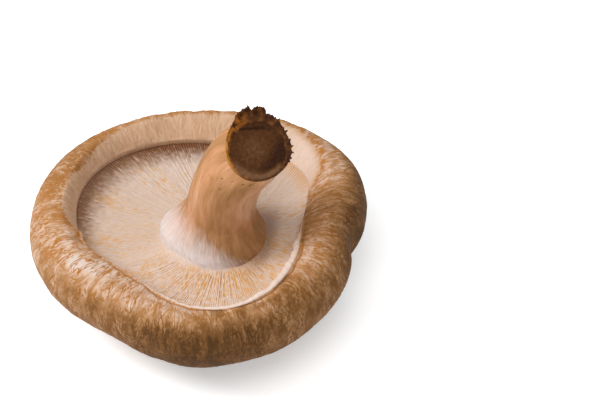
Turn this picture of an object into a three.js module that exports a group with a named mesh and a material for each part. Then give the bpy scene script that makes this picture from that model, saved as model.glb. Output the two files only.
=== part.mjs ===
// A shiitake mushroom lying on the crown of its cap, with the gills and the leaning stem upwards.
// It grew in one piece, so it is one closed mesh, made as a stack of rings that runs from the rest
// face on the crown, over the dome, round the inrolled rim, down to the lip, across the gills,
// up the stem and over the cut end. Millimetres, +Z up, origin at the centre of the rest face.
// Azimuth 0 is +X and azimuth 90 is +Y.

import * as THREE from 'three';

// Columns of the rings: one every 4 degrees, and twice as many where the gills need them.
const COLUMNS = 90;
const GILL_COLUMNS = 2 * COLUMNS;

// Cap: the rest face on its crown, the height of its widest line and how full its dome is, then values
// evenly spaced round it from azimuth 0.
const REST_RADIUS = 8;
const BELLY_HEIGHT = 17;
const DOME_FULLNESS = 1.2;
const REACH = [
  35.2, 37.4, 38.6, 37.2, 35.7, 34.7, 33.8, 34.3, 35.3, 36.9, 37.9, 37.6,
  36.9, 36.1, 34.8, 33, 32.4, 33.6, 35.1, 35.2, 35.1, 34.8, 34.6, 34.1,
];
const CREST_RADIUS = [
  28.5, 29.5, 31.6, 32.3, 32.3, 31, 30.6, 31.1, 31.6, 31.6, 31.1, 30.2,
  29.5, 28.8, 27.8, 27.3, 27.6, 28.4, 30.3, 31, 30.6, 29.8, 28.8, 28.3,
];
const CREST_HEIGHT = [25.5, 24.2, 24, 24, 24, 24, 24, 24, 24, 24, 24, 25];
const LIP_RADIUS = [
  22.4, 24, 26.4, 26.6, 25.8, 25.2, 25.4, 26.2, 27.2, 28.2, 28.4, 27.8,
  26.6, 25.6, 24, 22.8, 23.1, 25.1, 27.5, 28.6, 28, 26.4, 24.4, 22.6,
];
const LIP_HEIGHT = [22, 20.6, 20.5, 20.5, 20.5, 20.5, 21, 22.8, 23, 23, 23, 22.8];
const LIP_WIDTH = [
  0.4, 0.3, 0.3, 0.3, 0.3, 0.3, 0.3, 0.3, 0.3, 0.3, 0.3, 0.3,
  0.3, 0.3, 0.3, 0.5, 0.6, 0.8, 1, 1.2, 1.6, 1.9, 1.6, 0.8,
];

// How the inner side of the rim steepens towards the lip, and how far the lip's edge rolls round.
const SLOPE_STEEPENING = 1.6;
const LIP_TURN = 200;

// The step in the rim where the right-hand lobe ends.
const LEDGE_AZIMUTH = 352;
const LEDGE_SPREAD = 6;
const LEDGE_DEPTH = 1.5;

// The small curl in the lip on the left, drawn inwards and upwards.
const CURL_AZIMUTH = 193;
const CURL_SPREAD = 2.2;
const CURL_IN = 0.5;
const CURL_UP = 0.7;

// Gills: level of the field at the stem, how far it dips, how deep the gaps are, how sharply it rises
// at the lip, how its rings crowd towards the lip, and how far the lip stands over and above it.
const GILL_HEIGHT = 19.3;
const GILL_DIP = 0.9;
const GILL_DEPTH = 0.6;
const GILL_RISE = 10;
const GILL_SPACING = 1.6;
const LIP_OVERHANG = 0.8;
const LIP_DROP = 1;

// Stem, from its flared foot to the cut: centre x, y, z and radius.
const STEM = [
  [3.4, -2.8, 18.7, 11],
  [3.4, -2.8, 19.5, 10.8],
  [3.3, -2.8, 21, 10.3],
  [3.6, -2.7, 22.8, 9.3],
  [4.1, -2.6, 24.6, 8.2],
  [4.5, -2.6, 26.4, 7.6],
  [5, -2.6, 28.6, 7.3],
  [6.1, -2.9, 33.5, 7.2],
  [7.9, -3.3, 38.4, 7.2],
  [10.9, -4.2, 43.4, 7.3],
  [13, -4.6, 45.3, 6.5],
];
const CUT_NORMAL = new THREE.Vector3(0.12, -0.55, 0.82).normalize();

// The bulge and the shallow dent in the foot: azimuth, spread and how far out. Both fade up the stem
// between two heights.
const FOOT_SHAPE = [
  [168, 26, 1.4],
  [228, 24, -0.7],
];
const FOOT_LOW = 20;
const FOOT_HIGH = 25;

// Torn skin round the cut: how far it stands out past the stem, evenly spaced as above, how much it
// rises at its root and for each millimetre out, how thick it is and how its edge tapers. Inside it
// the cut is slightly hollow.
const TORN_REACH = [
  0.3, 0.3, 0.3, 0.5, 0.9, 1.4, 2.2, 2.4, 1.8, 0.9, 0.4, 0.2,
  0.1, 0.1, 0.1, 0.1, 0.1, 0.1, 0.1, 0.1, 0.1, 0.1, 0.2, 0.3,
];
const TORN_LIFT = 0.1;
const TORN_LEAN = 0.35;
const TORN_THICKNESS = 0.4;
const TORN_TAPER = 0.2;
const TORN_WIDTH = 0.8;
const CUT_HOLLOW = 0.4;

// Rings used for each stretch of the surface.
const DOME_RINGS = 12;
const ROLL_RINGS = 7;
const SLOPE_RINGS = 4;
const LIP_RINGS = 3;
const GILL_RINGS = 6;
const STEM_RINGS = 15;

const CAP_COLOUR = 0xb48658;

const radians = THREE.MathUtils.degToRad;
const mix = THREE.MathUtils.lerp;

// Smooth curve through four neighbouring values, with f running from the second to the third.
function curveThrough(before, first, second, after, f) {
  const linear = second - before;
  const square = 2 * before - 5 * first + 4 * second - after;
  const cube = 3 * first - before - 3 * second + after;
  return first + 0.5 * (linear * f + square * f ** 2 + cube * f ** 3);
}

// Value at an azimuth in degrees, from values evenly spaced round the full turn.
function around(values, azimuth) {
  const count = values.length;
  const place = (((azimuth / 360) % 1) + 1) % 1 * count;
  const i = Math.floor(place) % count;
  const at = (step) => values[(i + step + count) % count];
  return curveThrough(at(-1), at(0), at(1), at(2), place - Math.floor(place));
}

// Row of a table at t from 0 to 1, with every column eased through its neighbours.
function along(rows, t) {
  const last = rows.length - 1;
  const i = Math.min(Math.floor(t * last), last - 1);
  const f = t * last - i;
  const row = (step) => rows[THREE.MathUtils.clamp(i + step, 0, last)];
  return row(0).map((_, k) => curveThrough(row(-1)[k], row(0)[k], row(1)[k], row(2)[k], f));
}

// A ring with one point for each column, from a function of the azimuth in degrees.
function makeRing(columns, pointAt) {
  return Array.from({ length: columns }, (_, i) => pointAt((360 * i) / columns, i));
}

function capPoint(azimuth, radius, height) {
  const a = radians(azimuth);
  return new THREE.Vector3(radius * Math.cos(a), radius * Math.sin(a), height);
}

// 1 at an azimuth, fading to nothing on both sides of it.
function bellAt(azimuth, middle, spread) {
  const offset = ((azimuth - middle + 540) % 360) - 180;
  return Math.exp(-((offset / spread) ** 2));
}

function reachAt(azimuth) {
  return around(REACH, azimuth) - LEDGE_DEPTH * bellAt(azimuth, LEDGE_AZIMUTH, LEDGE_SPREAD);
}

// Radius and height of the crease where the rim meets the lip.
function creaseAt(azimuth) {
  const curl = bellAt(azimuth, CURL_AZIMUTH, CURL_SPREAD);
  return [around(LIP_RADIUS, azimuth) - CURL_IN * curl, around(LIP_HEIGHT, azimuth) + CURL_UP * curl];
}

// Outside of the cap, from the edge of the rest face up to its widest line.
function domeRings() {
  return Array.from({ length: DOME_RINGS }, (_, k) => {
    const turn = radians(90 * (k / DOME_RINGS - 1));
    return makeRing(COLUMNS, (azimuth) => {
      const spread = (reachAt(azimuth) - REST_RADIUS) * Math.cos(turn) ** DOME_FULLNESS;
      return capPoint(azimuth, REST_RADIUS + spread, BELLY_HEIGHT * (1 + Math.sin(turn)));
    });
  });
}

// The inrolled rim, from the widest line up to the crest.
function rollRings() {
  return Array.from({ length: ROLL_RINGS }, (_, k) => {
    const turn = radians((90 * k) / ROLL_RINGS);
    return makeRing(COLUMNS, (azimuth) => {
      const crest = around(CREST_RADIUS, azimuth);
      const radius = mix(crest, reachAt(azimuth), Math.cos(turn));
      return capPoint(azimuth, radius, mix(BELLY_HEIGHT, around(CREST_HEIGHT, azimuth), Math.sin(turn)));
    });
  });
}

// The inner side of the rim, from the crest down to the crease outside the lip.
function slopeRings() {
  return Array.from({ length: SLOPE_RINGS }, (_, k) => {
    const share = k / SLOPE_RINGS;
    return makeRing(COLUMNS, (azimuth) => {
      const [creaseRadius, creaseHeight] = creaseAt(azimuth);
      const fall = share ** SLOPE_STEEPENING;
      const radius = mix(around(CREST_RADIUS, azimuth), creaseRadius, share);
      return capPoint(azimuth, radius, mix(around(CREST_HEIGHT, azimuth), creaseHeight, fall));
    });
  });
}

// The rounded lip over the outer ends of the gills.
function lipRings() {
  return Array.from({ length: LIP_RINGS }, (_, k) => {
    const turn = radians(180 - (LIP_TURN * k) / (LIP_RINGS - 1));
    return makeRing(COLUMNS, (azimuth) => {
      const half = around(LIP_WIDTH, azimuth) / 2;
      const [radius, height] = creaseAt(azimuth);
      return capPoint(azimuth, radius - half * (1 + Math.cos(turn)), height + half * Math.sin(turn));
    });
  });
}

// The gill field, from under the lip to the foot of the stem. Ridges and gaps take turns.
function gillRings() {
  const [footX, footY, , footRadius] = STEM[0];
  const foot = new THREE.Vector3(footX, footY, 0);
  return Array.from({ length: GILL_RINGS }, (_, k) => {
    const share = ((k + 0.5) / GILL_RINGS) ** GILL_SPACING;
    return makeRing(GILL_COLUMNS, (azimuth, i) => {
      const outer = around(LIP_RADIUS, azimuth) - around(LIP_WIDTH, azimuth) + LIP_OVERHANG * (1 - share);
      const place = capPoint(azimuth, outer, 0).lerp(capPoint(azimuth, footRadius, 0).add(foot), share);
      const gap = (i % 2) * GILL_DEPTH;
      const climb = Math.max(around(LIP_HEIGHT, azimuth) - LIP_DROP - GILL_HEIGHT, 0);
      const dip = GILL_DIP * Math.sin(Math.PI * share);
      place.z = GILL_HEIGHT - dip + climb * (1 - share) ** GILL_RISE - gap;
      return place;
    });
  });
}

// Centre, radius and two directions across the stem at t, from 0 at the foot to 1 at the cut.
function stemSection(t) {
  const [x, y, z, radius] = along(STEM, t);
  const normal = new THREE.Vector3(0, 0, 1).lerp(CUT_NORMAL, t ** 2).normalize();
  const across = new THREE.Vector3(1, 0, 0).projectOnPlane(normal).normalize();
  const back = new THREE.Vector3().crossVectors(normal, across);
  return { centre: new THREE.Vector3(x, y, z), radius, normal, across, back };
}

// A ring across the stem, from functions that give its radius and rise at an azimuth.
function stemRing(section, radius, rise) {
  return makeRing(COLUMNS, (azimuth) => {
    const a = radians(azimuth);
    return section.centre
      .clone()
      .addScaledVector(section.across, radius(azimuth) * Math.cos(a))
      .addScaledVector(section.back, radius(azimuth) * Math.sin(a))
      .addScaledVector(section.normal, rise(azimuth));
  });
}

function stemRings() {
  return Array.from({ length: STEM_RINGS }, (_, k) => {
    const section = stemSection(k / STEM_RINGS);
    const fade = 1 - THREE.MathUtils.smoothstep(section.centre.z, FOOT_LOW, FOOT_HIGH);
    const footOut = (azimuth) =>
      FOOT_SHAPE.reduce((sum, [middle, spread, out]) => sum + out * bellAt(azimuth, middle, spread), 0);
    return stemRing(section, (azimuth) => section.radius + fade * footOut(azimuth), () => 0);
  });
}

// The torn edge of the cut, leaning out over the stem in places, and the hollow face inside it.
function cutRings() {
  const section = stemSection(1);
  const tip = (azimuth) => section.radius + around(TORN_REACH, azimuth);
  const lean = (azimuth) => TORN_LIFT + TORN_LEAN * around(TORN_REACH, azimuth);
  return [
    stemRing(section, () => section.radius, () => 0),
    stemRing(section, tip, lean),
    stemRing(section, (azimuth) => tip(azimuth) - TORN_TAPER, (azimuth) => lean(azimuth) + TORN_THICKNESS),
    stemRing(section, () => section.radius - TORN_WIDTH, () => 0),
    stemRing(section, () => section.radius / 2, () => -CUT_HOLLOW),
  ];
}

// Joins the rings into one closed body. Neighbouring rings have the same number of columns,
// or one of them has twice as many.
function closedStack(rings, firstCentre, lastCentre) {
  const positions = [];
  const faces = [];
  const starts = rings.map((ring) => {
    const start = positions.length / 3;
    ring.forEach((point) => positions.push(point.x, point.y, point.z));
    return start;
  });
  const vertex = (ring, i) => starts[ring] + (i % rings[ring].length);

  function joinSame(lower, upper) {
    for (let i = 0; i < rings[lower].length; i += 1) {
      faces.push(vertex(lower, i), vertex(lower, i + 1), vertex(upper, i + 1));
      faces.push(vertex(lower, i), vertex(upper, i + 1), vertex(upper, i));
    }
  }

  function joinToDouble(lower, upper) {
    for (let i = 0; i < rings[lower].length; i += 1) {
      faces.push(vertex(lower, i), vertex(upper, 2 * i + 1), vertex(upper, 2 * i));
      faces.push(vertex(lower, i), vertex(lower, i + 1), vertex(upper, 2 * i + 1));
      faces.push(vertex(lower, i + 1), vertex(upper, 2 * i + 2), vertex(upper, 2 * i + 1));
    }
  }

  function joinToHalf(lower, upper) {
    for (let i = 0; i < rings[upper].length; i += 1) {
      faces.push(vertex(lower, 2 * i), vertex(lower, 2 * i + 1), vertex(upper, i));
      faces.push(vertex(lower, 2 * i + 1), vertex(upper, i + 1), vertex(upper, i));
      faces.push(vertex(lower, 2 * i + 1), vertex(lower, 2 * i + 2), vertex(upper, i + 1));
    }
  }

  for (let k = 0; k + 1 < rings.length; k += 1) {
    const growth = rings[k + 1].length / rings[k].length;
    if (growth === 1) {
      joinSame(k, k + 1);
    } else if (growth === 2) {
      joinToDouble(k, k + 1);
    } else {
      joinToHalf(k, k + 1);
    }
  }

  function closeEnd(ring, centre, facingBack) {
    const middle = positions.length / 3;
    positions.push(centre.x, centre.y, centre.z);
    for (let i = 0; i < rings[ring].length; i += 1) {
      const edge = [vertex(ring, i), vertex(ring, i + 1)];
      faces.push(middle, ...(facingBack ? edge.reverse() : edge));
    }
  }

  closeEnd(0, firstCentre, true);
  closeEnd(rings.length - 1, lastCentre, false);

  const geometry = new THREE.BufferGeometry();
  geometry.setAttribute('position', new THREE.Float32BufferAttribute(positions, 3));
  geometry.setIndex(faces);
  geometry.computeVertexNormals();
  return geometry;
}

function mushroom() {
  const rings = [
    ...domeRings(),
    ...rollRings(),
    ...slopeRings(),
    ...lipRings(),
    ...gillRings(),
    ...stemRings(),
    ...cutRings(),
  ];
  const cut = stemSection(1);
  const cutCentre = cut.centre.clone().addScaledVector(cut.normal, -CUT_HOLLOW);
  const geometry = closedStack(rings, new THREE.Vector3(0, 0, 0), cutCentre);
  const flesh = new THREE.MeshStandardMaterial({ color: CAP_COLOUR, roughness: 0.8, metalness: 0 });
  const mesh = new THREE.Mesh(geometry, flesh);
  mesh.name = 'shiitake_mushroom';
  return mesh;
}

const part = new THREE.Group();
part.add(mushroom());

export default part;
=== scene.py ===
"""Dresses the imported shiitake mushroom: cap, gills, stem, cut end and torn skin, on a plain stage."""

import math
from itertools import product

import bpy
import numpy as np
from bpy.props import FloatProperty, FloatVectorProperty, IntProperty, PointerProperty
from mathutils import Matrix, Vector


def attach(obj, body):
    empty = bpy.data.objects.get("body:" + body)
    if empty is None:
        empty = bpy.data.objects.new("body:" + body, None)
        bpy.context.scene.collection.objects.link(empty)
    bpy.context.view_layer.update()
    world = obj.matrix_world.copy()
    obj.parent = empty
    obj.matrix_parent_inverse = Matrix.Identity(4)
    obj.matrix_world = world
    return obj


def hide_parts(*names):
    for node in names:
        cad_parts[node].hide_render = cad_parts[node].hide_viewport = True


bl_info = {
    "name": "Shiitake Mushroom",
    "version": (1, 0, 0),
    "blender": (4, 5, 0),
    "location": "3D View > Sidebar > Mushroom",
    "description": "Builds the surface of a shiitake mushroom lying cap down",
    "category": "Object",
}

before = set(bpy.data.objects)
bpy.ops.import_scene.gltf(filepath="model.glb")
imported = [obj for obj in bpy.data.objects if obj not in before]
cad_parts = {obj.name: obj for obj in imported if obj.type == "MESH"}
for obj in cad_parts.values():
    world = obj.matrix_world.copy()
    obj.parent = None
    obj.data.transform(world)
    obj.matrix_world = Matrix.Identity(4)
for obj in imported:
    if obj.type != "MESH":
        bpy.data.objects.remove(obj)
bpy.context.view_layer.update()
NODE = "shiitake_mushroom"

MM = 0.001
TURN = 2 * math.pi

# Cap, in millimetres, as values evenly spaced round it. Azimuth 0 is +X and a quarter turn is +Y.
REST_RADIUS = 8
BELLY_HEIGHT = 17
DOME_FULLNESS = 1.2
REACH = [
    35.2, 37.4, 38.6, 37.2, 35.7, 34.7, 33.8, 34.3, 35.3, 36.9, 37.9, 37.6,
    36.9, 36.1, 34.8, 33.0, 32.4, 33.6, 35.1, 35.2, 35.1, 34.8, 34.6, 34.1,
]
CREST_RADIUS = [
    28.5, 29.5, 31.6, 32.3, 32.3, 31, 30.6, 31.1, 31.6, 31.6, 31.1, 30.2,
    29.5, 28.8, 27.8, 27.3, 27.6, 28.4, 30.3, 31, 30.6, 29.8, 28.8, 28.3,
]
CREST_HEIGHT = [25.5, 24.2, 24, 24, 24, 24, 24, 24, 24, 24, 24, 25]
LIP_RADIUS = [
    22.4, 24, 26.4, 26.6, 25.8, 25.2, 25.4, 26.2, 27.2, 28.2, 28.4, 27.8,
    26.6, 25.6, 24, 22.8, 23.1, 25.1, 27.5, 28.6, 28, 26.4, 24.4, 22.6,
]
LIP_HEIGHT = [22, 20.6, 20.5, 20.5, 20.5, 20.5, 21, 22.8, 23, 23, 23, 22.8]
LIP_WIDTH = [
    0.3, 0.2, 0.2, 0.2, 0.2, 0.2, 0.2, 0.2, 0.2, 0.2, 0.2, 0.2,
    0.2, 0.2, 0.3, 0.5, 0.6, 0.8, 1.0, 1.2, 1.6, 1.9, 1.6, 0.8,
]
CURL_AZIMUTH = 193
CURL_SPREAD = 2.2
LEDGE_AZIMUTH = 352
LEDGE_SPREAD = 6
LEDGE_DEPTH = 1.5

# How far the skin reaches down the inner side of the rim: 0 stops at the crest, 1 at the lip.
SKIN_REACH = [
    1.2, 1.05, 0.3, 0.05, 0.02, 0.05, 0.08, 0.1, 0.1, 0.15, 0.5, 0,
    0.1, 1, 1.3, 1.3, 1.3, 1.3, 1.3, 1.3, 1.3, 1.3, 1.3, 1.3,
]

GILL_HEIGHT = 19.3
GILL_BOTTOM = 16.0
GILL_DIP = 0.9
GILL_RISE = 10
LIP_OVERHANG = 0.8

# Stem, from its flared foot to the cut: centre x, y, z and radius.
STEM = [
    [3.4, -2.8, 18.7, 11.0],
    [3.4, -2.8, 19.5, 10.8],
    [3.3, -2.8, 21.0, 10.3],
    [3.6, -2.7, 22.8, 9.3],
    [4.1, -2.6, 24.6, 8.2],
    [4.5, -2.6, 26.4, 7.6],
    [5.0, -2.6, 28.6, 7.3],
    [6.1, -2.9, 33.5, 7.2],
    [7.9, -3.3, 38.4, 7.2],
    [10.9, -4.2, 43.4, 7.3],
    [13.0, -4.6, 45.3, 6.5],
]
CUT_NORMAL = np.array([0.12, -0.55, 0.82]) / math.hypot(0.12, 0.55, 0.82)

# Bulge and dent in the foot: azimuth and spread in degrees, and how far out, fading over these heights.
FOOT_SHAPE = [(168, 26, 1.4), (228, 24, -0.7)]
FOOT_FADE = (20, 25)


# ---------------------------------------------------------------- curves, noise and meshes

def linear(hex_colour):
    """Linear RGBA for a colour written as an sRGB hex value."""
    channels = [int(hex_colour[i:i + 2], 16) / 255 for i in (1, 3, 5)]
    return [c / 12.92 if c <= 0.04045 else ((c + 0.055) / 1.055) ** 2.4 for c in channels] + [1]


def curve_through(before, first, second, after, f):
    """Smooth curve through four neighbouring values, with f from the second to the third."""
    square = 2 * before - 5 * first + 4 * second - after
    cube = 3 * first - before - 3 * second + after
    return first + 0.5 * ((second - before) * f + square * f**2 + cube * f**3)


def around(values, azimuth):
    """Value at an azimuth in radians, from values evenly spaced round the full turn."""
    values = np.asarray(values, float)
    place = (np.asarray(azimuth) / TURN % 1) * len(values)
    i = np.floor(place).astype(int)
    near = [values[(i + step) % len(values)] for step in (-1, 0, 1, 2)]
    return curve_through(*near, place - i)


def along(rows, t):
    """Rows of a table at t from 0 to 1, with every column eased through its neighbours."""
    rows = np.asarray(rows, float)
    last = len(rows) - 1
    i = np.minimum(np.floor(np.asarray(t) * last).astype(int), last - 1)
    near = [rows[np.clip(i + step, 0, last)] for step in (-1, 0, 1, 2)]
    return curve_through(*near, (np.asarray(t) * last - i)[:, None])


def smooth_step(value, low, high):
    """0 below low, 1 above high, and an even slope between them."""
    share = np.clip((value - low) / (high - low), 0, 1)
    return share * share * (3 - 2 * share)


def bell(value, middle, spread):
    """1 at the middle, falling away on both sides."""
    return np.exp(-((value - middle) / spread) ** 2)


def facing(azimuth, degrees):
    """1 where an azimuth in radians points this way, -1 where it points away."""
    return np.cos(azimuth - math.radians(degrees))


def noise(points, seed):
    """Gradient noise, about -1 to 1, with features about one unit across."""
    rng = np.random.default_rng(seed)
    table = rng.permutation(256)
    slopes = rng.normal(size=(256, 3))
    slopes /= np.linalg.norm(slopes, axis=1)[:, None]
    cell = np.floor(points).astype(int)
    inside = points - cell
    ease = inside**3 * (inside * (inside * 6 - 15) + 10)
    total = 0
    for corner in product((0, 1), repeat=3):
        x, y, z = np.moveaxis(cell + corner, -1, 0)
        slope = slopes[table[(table[(table[x & 255] + y) & 255] + z) & 255]]
        weight = np.prod(np.where(corner, ease, 1 - ease), axis=-1)
        total = total + weight * ((inside - corner) * slope).sum(-1)
    return total * 1.7


def layered_noise(points, seed, layers=3):
    """Noise with finer and fainter layers added."""
    return sum(noise(points * 2**k, seed + k) / 2**k for k in range(layers)) / 1.5


def wobble(points, first_seed):
    """Noise in each of the three directions."""
    return np.stack([noise(points, first_seed + k) for k in range(3)], axis=-1)


def grid_normals(points):
    """Unit normals of a grid of points whose columns close on themselves."""
    down = np.gradient(points, axis=0)
    across = np.roll(points, -1, axis=1) - np.roll(points, 1, axis=1)
    normals = np.cross(across, down)
    return normals / np.maximum(np.linalg.norm(normals, axis=-1, keepdims=True), 1e-9)


def polar(radius, azimuth, height):
    """Points from a radius, an azimuth in radians and a height."""
    radius, azimuth, height = np.broadcast_arrays(radius, azimuth, height)
    return np.stack([radius * np.cos(azimuth), radius * np.sin(azimuth), height], axis=-1)


def columns(count):
    """Azimuths of evenly spaced columns."""
    return np.arange(count) * TURN / count


class Body:
    """One closed body as a grid: rows of points, each row a ring, with a point closing each end."""

    def __init__(self, points, first, last, **attributes):
        self.points = points
        self.ends = [first, last]
        self.attributes = attributes

    def faces(self):
        """Quads between the rings and triangles at the two ends, as loops of vertex indices."""
        rows, count = self.points.shape[:2]
        i = np.arange(rows - 1)[:, None] * count
        j = np.arange(count)[None, :]
        k = (j + 1) % count
        quads = np.stack([i + j, i + k, i + count + k, i + count + j], axis=-1).reshape(-1, 4)
        first = rows * count
        start = np.stack([np.full(count, first), k[0], j[0]], axis=-1)
        lowest = (rows - 1) * count
        end = np.stack([np.full(count, first + 1), lowest + j[0], lowest + k[0]], axis=-1)
        return quads, start, end

    def uvs(self):
        """Texture places for the faces: across the columns, and along the rows by their real length."""
        rows, count = self.points.shape[:2]
        steps = np.linalg.norm(np.diff(self.points, axis=0), axis=-1).mean(axis=1)
        place = np.concatenate([[0], np.cumsum(steps)])
        place = 0.01 + 0.98 * place / place[-1]
        left, right = np.arange(count) / count, np.arange(1, count + 1) / count
        low, high = np.repeat(place[:-1], count), np.repeat(place[1:], count)
        lefts, rights = np.tile(left, rows - 1), np.tile(right, rows - 1)
        quads = np.stack([lefts, low, rights, low, rights, high, lefts, high], -1)
        middle = (left + right) / 2
        start = np.stack([middle, 0 * left, right, place[0] + 0 * left, left, place[0] + 0 * left], -1)
        end = np.stack([middle, 1 + 0 * left, left, place[-1] + 0 * left, right, place[-1] + 0 * left], -1)
        return np.concatenate([quads.reshape(-1, 2), start.reshape(-1, 2), end.reshape(-1, 2)])


def make_piece(name, bodies, material):
    """One object from closed bodies, with their attributes, riding on the root in the node's place."""
    vertices, loops, sizes, uvs = [], [], [], []
    values = {}
    offset = 0
    for number, body in enumerate(bodies):
        vertices += [body.points.reshape(-1, 3), np.array(body.ends)]
        for faces in body.faces():
            loops.append(faces.ravel() + offset)
            sizes.append(np.full(len(faces), faces.shape[1]))
        uvs.append((body.uvs() + [number, 0]) / [len(bodies), 1])
        for key, value in body.attributes.items():
            width = 3 if value.ndim == 3 else 1
            flat = value.reshape(-1, width)
            ends = [value[0].reshape(-1, width).mean(axis=0), value[-1].reshape(-1, width).mean(axis=0)]
            values.setdefault(key, []).append(np.concatenate([flat, ends]))
        offset += body.points.shape[0] * body.points.shape[1] + 2
    vertices = np.concatenate(vertices) * MM
    loops = np.concatenate(loops)
    sizes = np.concatenate(sizes)

    mesh = bpy.data.meshes.new(name)
    mesh.vertices.add(len(vertices))
    mesh.vertices.foreach_set("co", vertices.ravel())
    mesh.loops.add(len(loops))
    mesh.loops.foreach_set("vertex_index", loops)
    mesh.polygons.add(len(sizes))
    mesh.polygons.foreach_set("loop_start", np.cumsum(sizes) - sizes)
    mesh.polygons.foreach_set("use_smooth", np.ones(len(sizes), bool))
    mesh.update(calc_edges=True)
    mesh.uv_layers.new(name="OFBake").data.foreach_set("uv", np.concatenate(uvs).ravel())
    for key, parts in values.items():
        data = np.concatenate(parts)
        kind = "FLOAT_VECTOR" if data.shape[1] == 3 else "FLOAT"
        field = "vector" if data.shape[1] == 3 else "value"
        mesh.attributes.new(key, kind, "POINT").data.foreach_set(field, data.ravel())
    if mesh.validate():
        raise RuntimeError(f"{name} has faulty faces")
    mesh.materials.append(material)
    piece = bpy.data.objects.new(name, mesh)
    bpy.context.scene.collection.objects.link(piece)
    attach(piece, "root")
    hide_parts(NODE)
    return piece


# ---------------------------------------------------------------- materials

def add_node(tree, kind, inputs=None, output=0, stops=None, **settings):
    """Add a node with its settings and links, and return one of its output sockets.

    Inputs are named or numbered; a socket as the value makes a link. Stops fill a colour ramp.
    """
    made = tree.nodes.new(kind)
    for name, value in settings.items():
        setattr(made, name, value)
    if stops:
        elements = made.color_ramp.elements
        while len(elements) < len(stops):
            elements.new(0.5)
        for element, (position, colour) in zip(elements, stops):
            element.position = position
            element.color = colour
    for name, value in (inputs or {}).items():
        usable = [socket for socket in made.inputs if socket.enabled]
        by_name = [socket for socket in usable if socket.name == name]
        socket = usable[name] if isinstance(name, int) else by_name[0]
        if isinstance(value, bpy.types.NodeSocket):
            tree.links.new(value, socket)
        else:
            socket.default_value = value
    usable = [socket for socket in made.outputs if socket.enabled]
    return usable[output] if isinstance(output, int) else made.outputs[output]


def new_material(name):
    """An empty material, and its node tree."""
    material = bpy.data.materials.new(name)
    material.use_nodes = True
    material.node_tree.nodes.clear()
    return material, material.node_tree


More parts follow.
